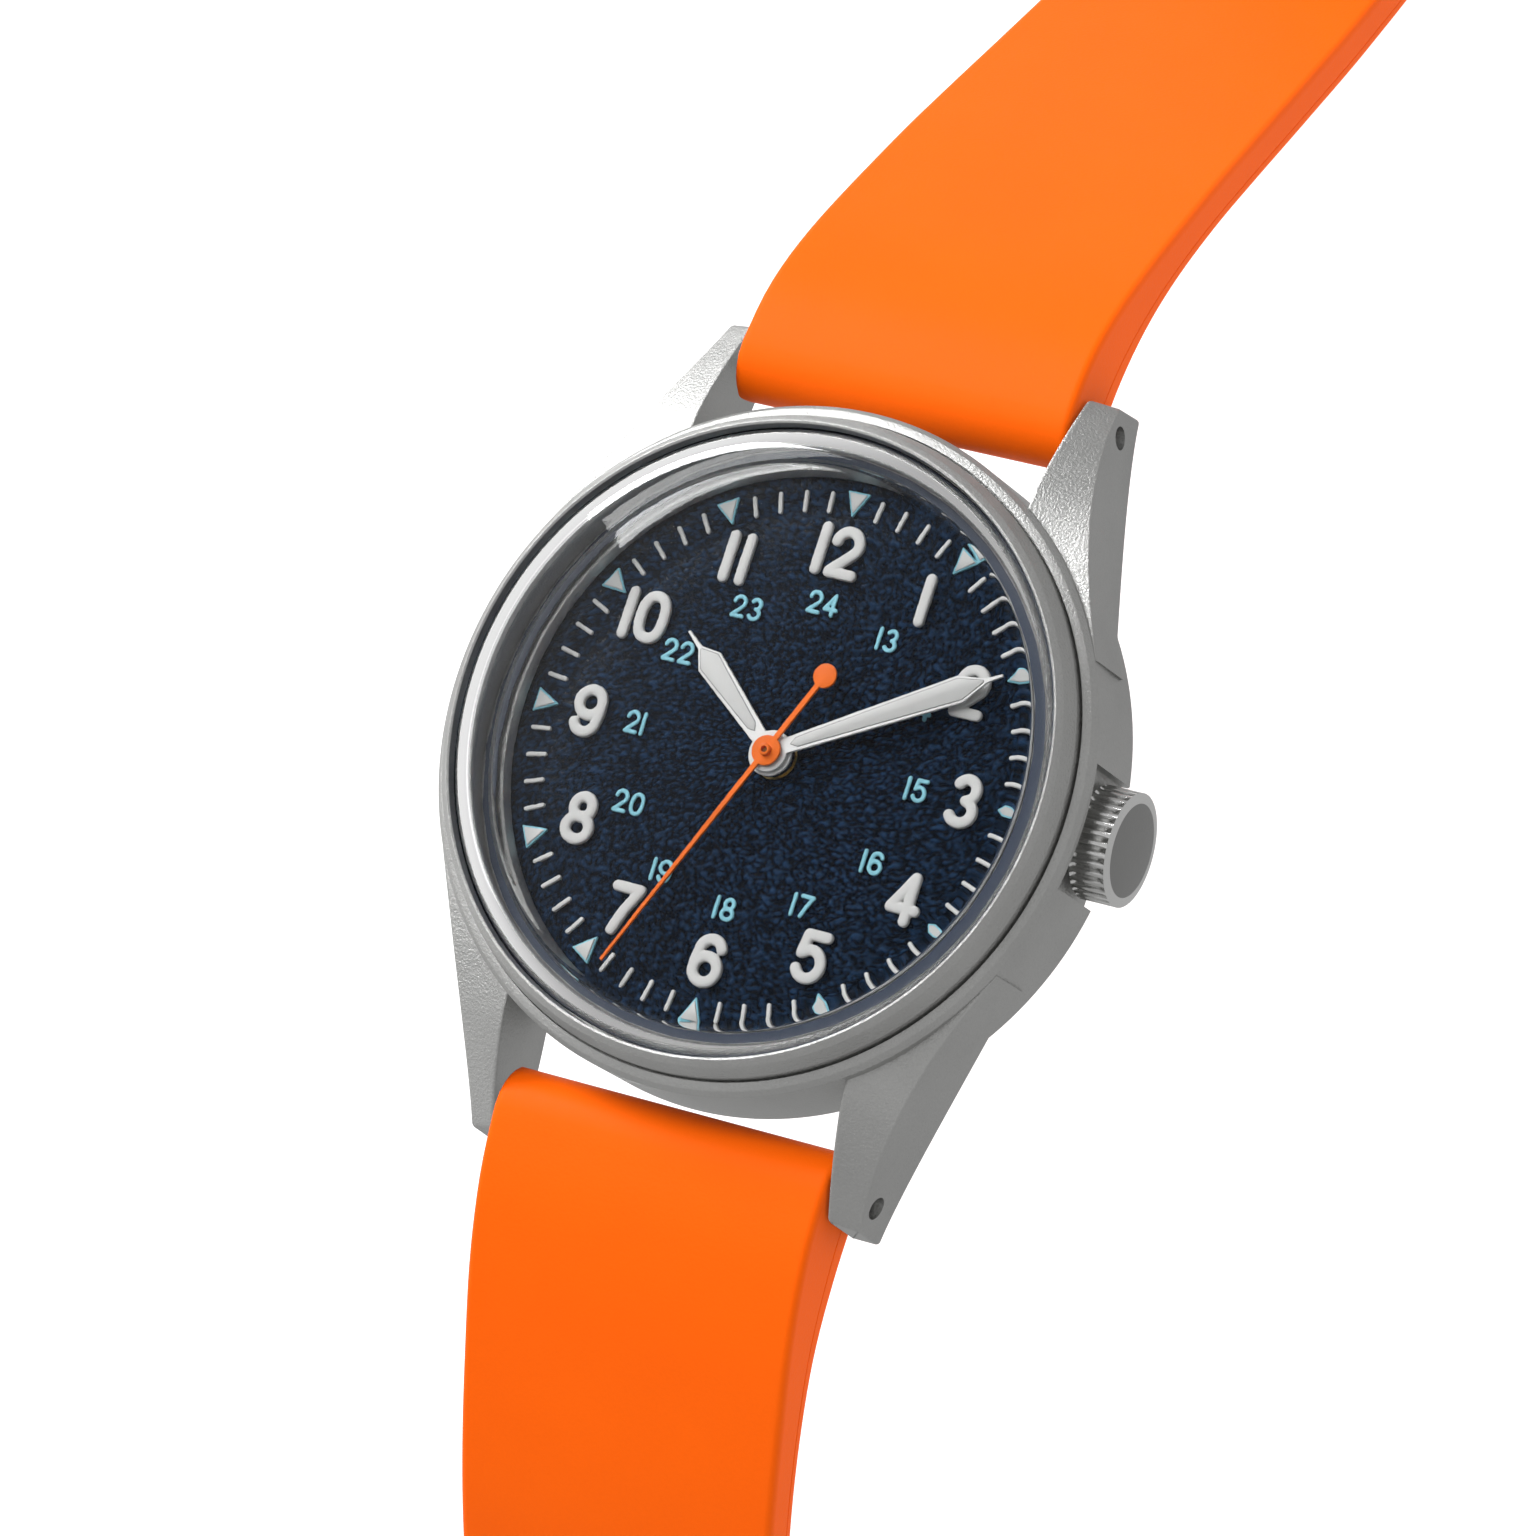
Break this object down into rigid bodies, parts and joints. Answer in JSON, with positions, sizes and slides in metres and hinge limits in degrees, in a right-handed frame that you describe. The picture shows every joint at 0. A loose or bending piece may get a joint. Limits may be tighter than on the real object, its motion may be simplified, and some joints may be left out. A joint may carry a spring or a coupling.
{
  "type": "field watch",
  "caption": "Steel field watch with fixed smooth bezel, domed acrylic crystal, navy pebbled dial, side crown and orange rubber strap with pin buckle.",
  "frame": {"origin": "centre of the case back's flat outer face", "axes": "+Z out of the dial, +Y towards 12 o'clock, +X towards 3 o'clock and the crown"},
  "size_m": [0.0392, 0.2296, 0.0422],
  "materials": {
    "case_steel": "bead-blasted, fine matte grain",
    "polished_steel": "polished",
    "gilt_brass": "gilt, satin",
    "nickel_plate": "nickel plated",
    "strap_rubber": "smooth matte orange",
    "seal_rubber": "black",
    "nylon": "natural white",
    "clear_acrylic": "clear, polished",
    "dial_enamel": "deep navy, pebble grained",
    "white_lacquer": "gloss white with lume panels",
    "orange_lacquer": "satin orange"
  },
  "bodies": {
    "watch_case": {"balance_cock": "nickel_plate", "balance_cock_screw": "polished_steel", "barrel_bridge": "nickel_plate", "barrel_bridge_screw_left": "polished_steel", "barrel_bridge_screw_right": "polished_steel", "bezel": "case_steel", "case_back": "case_steel", "case_back_gasket": "seal_rubber", "case_middle": "case_steel", "crown_tube": "polished_steel", "crystal": "clear_acrylic", "crystal_gasket": "nylon", "dial": "dial_enamel", "hairspring": "polished_steel", "main_plate": "gilt_brass", "movement_holder": "nylon", "pallet_bridge": "nickel_plate", "pallet_bridge_screw": "polished_steel", "rehaut_ring": "polished_steel", "spring_bar_12": "polished_steel", "spring_bar_6": "polished_steel", "train_bridge": "nickel_plate", "train_bridge_screw": "polished_steel"},
    "winding_pinion": {"winding_pinion": "nickel_plate"},
    "sliding_clutch": {"sliding_clutch": "nickel_plate"},
    "crown_and_stem": {"crown": "polished_steel", "crown_gasket": "seal_rubber", "winding_stem": "nickel_plate"},
    "crown_wheel": {"crown_wheel": "nickel_plate"},
    "ratchet": {"ratchet_wheel": "nickel_plate", "barrel_arbor": "nickel_plate"},
    "click": {"click": "nickel_plate"},
    "setting_lever": {"setting_lever": "polished_steel"},
    "yoke": {"yoke": "polished_steel"},
    "barrel_drum": {"mainspring_barrel": "gilt_brass", "barrel_cover": "gilt_brass", "mainspring": "polished_steel"},
    "centre_wheel": {"centre_wheel": "gilt_brass"},
    "third_wheel": {"third_wheel": "gilt_brass"},
    "seconds_drive": {"seconds_hand": "orange_lacquer", "fourth_wheel": "gilt_brass"},
    "escape_wheel": {"escape_wheel": "nickel_plate"},
    "pallet_fork": {"pallet_fork": "polished_steel"},
    "balance": {"balance_wheel": "gilt_brass"},
    "minute_drive": {"minute_hand": "white_lacquer", "cannon_pinion": "nickel_plate"},
    "minute_wheel": {"minute_wheel": "gilt_brass"},
    "hour_drive": {"hour_hand": "white_lacquer", "hour_wheel": "gilt_brass"},
    "strap_12": {"strap_12": "strap_rubber", "fixed_keeper": "strap_rubber", "buckle_bar": "polished_steel"},
    "loose_keeper": {"loose_keeper": "strap_rubber"},
    "buckle_frame": {"buckle_frame": "case_steel"},
    "buckle_tongue": {"buckle_tongue": "polished_steel"},
    "strap_6": {"strap_6": "strap_rubber"},
    "bar_12_tip_left": {"spring_bar_12_tip_left": "polished_steel"},
    "bar_12_tip_right": {"spring_bar_12_tip_right": "polished_steel"},
    "bar_6_tip_left": {"spring_bar_6_tip_left": "polished_steel"},
    "bar_6_tip_right": {"spring_bar_6_tip_right": "polished_steel"}
  },
  "joints": [
    {"name": "crown_turn", "type": "hinge", "parent": "watch_case", "child": "winding_pinion", "pos_m": [0.0112, 0, 0.00327], "axis": [1, 0, 0], "continuous": true},
    {"name": "crown_pull", "type": "slide", "parent": "winding_pinion", "child": "crown_and_stem", "axis": [1, 0, 0], "range_m": [0, 0.0016]},
    {"name": "clutch_shift", "type": "slide", "parent": "winding_pinion", "child": "sliding_clutch", "axis": [-1, 0, 0], "range_m": [0, 0.0005]},
    {"name": "crown_wheel_turn", "type": "hinge", "parent": "watch_case", "child": "crown_wheel", "pos_m": [0.00659, 0.00329, 0.0016], "axis": [0, 0, 1], "continuous": true},
    {"name": "ratchet_turn", "type": "hinge", "parent": "watch_case", "child": "ratchet", "pos_m": [0.00182, 0.00572, 0.0016], "axis": [0, 0, 1], "continuous": true},
    {"name": "click_swing", "type": "hinge", "parent": "watch_case", "child": "click", "pos_m": [-0.0026, 0.0096, 0.0016], "axis": [0, 0, 1], "range_deg": [0, 10], "stiffness_Nm_per_rad": 0.00001},
    {"name": "setting_lever_swing", "type": "hinge", "parent": "watch_case", "child": "setting_lever", "pos_m": [0.0099, -0.0036, 0.0051], "axis": [0, 0, -1], "range_deg": [0, 28]},
    {"name": "yoke_swing", "type": "hinge", "parent": "watch_case", "child": "yoke", "pos_m": [0.0066, -0.0046, 0.0054], "axis": [0, 0, 1], "range_deg": [0, 6]},
    {"name": "seconds_turn", "type": "hinge", "parent": "watch_case", "child": "seconds_drive", "pos_m": [0, 0, 0.0075], "axis": [0, 0, -1], "continuous": true},
    {"name": "third_wheel_turn", "type": "hinge", "parent": "watch_case", "child": "third_wheel", "pos_m": [-0.0036, -0.00135, 0.003], "axis": [0, 0, -1], "continuous": true},
    {"name": "centre_wheel_turn", "type": "hinge", "parent": "watch_case", "child": "centre_wheel", "pos_m": [0, 0, 0.0036], "axis": [0, 0, -1], "continuous": true},
    {"name": "barrel_turn", "type": "hinge", "parent": "watch_case", "child": "barrel_drum", "pos_m": [0.00182, 0.00572, 0.0033], "axis": [0, 0, -1], "continuous": true},
    {"name": "escape_wheel_turn", "type": "hinge", "parent": "watch_case", "child": "escape_wheel", "pos_m": [0.00205, -0.0036, 0.003], "axis": [0, 0, -1], "continuous": true},
    {"name": "pallet_fork_rock", "type": "hinge", "parent": "watch_case", "child": "pallet_fork", "pos_m": [0.00135, -0.00695, 0.003], "axis": [0, 0, 1], "range_deg": [-5, 5]},
    {"name": "balance_swing", "type": "hinge", "parent": "watch_case", "child": "balance", "pos_m": [-0.003, -0.0078, 0.0035], "axis": [0, 0, 1], "range_deg": [-135, 135], "stiffness_Nm_per_rad": 0.000001},
    {"name": "minute_hand_turn", "type": "hinge", "parent": "watch_case", "child": "minute_drive", "pos_m": [0, 0, 0.0072], "axis": [0, 0, -1], "continuous": true},
    {"name": "minute_wheel_turn", "type": "hinge", "parent": "watch_case", "child": "minute_wheel", "pos_m": [-0.0016, 0.00277, 0.0052], "axis": [0, 0, -1], "continuous": true},
    {"name": "hour_hand_turn", "type": "hinge", "parent": "watch_case", "child": "hour_drive", "pos_m": [0, 0, 0.0069], "axis": [0, 0, -1], "continuous": true},
    {"name": "strap_12_hinge", "type": "hinge", "parent": "watch_case", "child": "strap_12", "pos_m": [0, 0.0213, 0.00245], "axis": [1, 0, 0], "range_deg": [-75, 30]},
    {"name": "loose_keeper_slide", "type": "slide", "parent": "strap_12", "child": "loose_keeper", "axis": [0, 1, 0], "range_m": [-0.008, 0.0015]},
    {"name": "buckle_hinge", "type": "hinge", "parent": "strap_12", "child": "buckle_frame", "pos_m": [0, 0.088, -0.0285], "axis": [1, 0, 0], "range_deg": [-60, 45]},
    {"name": "tongue_hinge", "type": "hinge", "parent": "buckle_frame", "child": "buckle_tongue", "pos_m": [0, 0.088, -0.0285], "axis": [1, 0, 0], "range_deg": [0, 70]},
    {"name": "strap_6_hinge", "type": "hinge", "parent": "watch_case", "child": "strap_6", "pos_m": [0, -0.0213, 0.00245], "axis": [1, 0, 0], "range_deg": [-30, 75]},
    {"name": "bar_12_tip_left_push", "type": "slide", "parent": "watch_case", "child": "bar_12_tip_left", "axis": [1, 0, 0], "range_m": [0, 0.0016], "stiffness_N_per_m": 300},
    {"name": "bar_12_tip_right_push", "type": "slide", "parent": "watch_case", "child": "bar_12_tip_right", "axis": [-1, 0, 0], "range_m": [0, 0.0016], "stiffness_N_per_m": 300},
    {"name": "bar_6_tip_left_push", "type": "slide", "parent": "watch_case", "child": "bar_6_tip_left", "axis": [1, 0, 0], "range_m": [0, 0.0016], "stiffness_N_per_m": 300},
    {"name": "bar_6_tip_right_push", "type": "slide", "parent": "watch_case", "child": "bar_6_tip_right", "axis": [-1, 0, 0], "range_m": [0, 0.0016], "stiffness_N_per_m": 300}
  ],
  "couplings": [
    {"joint": "clutch_shift", "follows": "crown_pull", "ratio": 0.3125},
    {"joint": "setting_lever_swing", "follows": "crown_pull", "rad_per_m": 300},
    {"joint": "yoke_swing", "follows": "crown_pull", "rad_per_m": 63},
    {"joint": "crown_wheel_turn", "follows": "crown_turn", "ratio": -0.55},
    {"joint": "ratchet_turn", "follows": "crown_turn", "ratio": 0.393},
    {"joint": "third_wheel_turn", "follows": "seconds_turn", "ratio": -0.13333},
    {"joint": "centre_wheel_turn", "follows": "seconds_turn", "ratio": 0.016667},
    {"joint": "barrel_turn", "follows": "seconds_turn", "ratio": -0.0022222},
    {"joint": "escape_wheel_turn", "follows": "seconds_turn", "ratio": -10},
    {"joint": "minute_wheel_turn", "follows": "minute_hand_turn", "ratio": -0.33333},
    {"joint": "hour_hand_turn", "follows": "minute_hand_turn", "ratio": 0.083333}
  ]
}
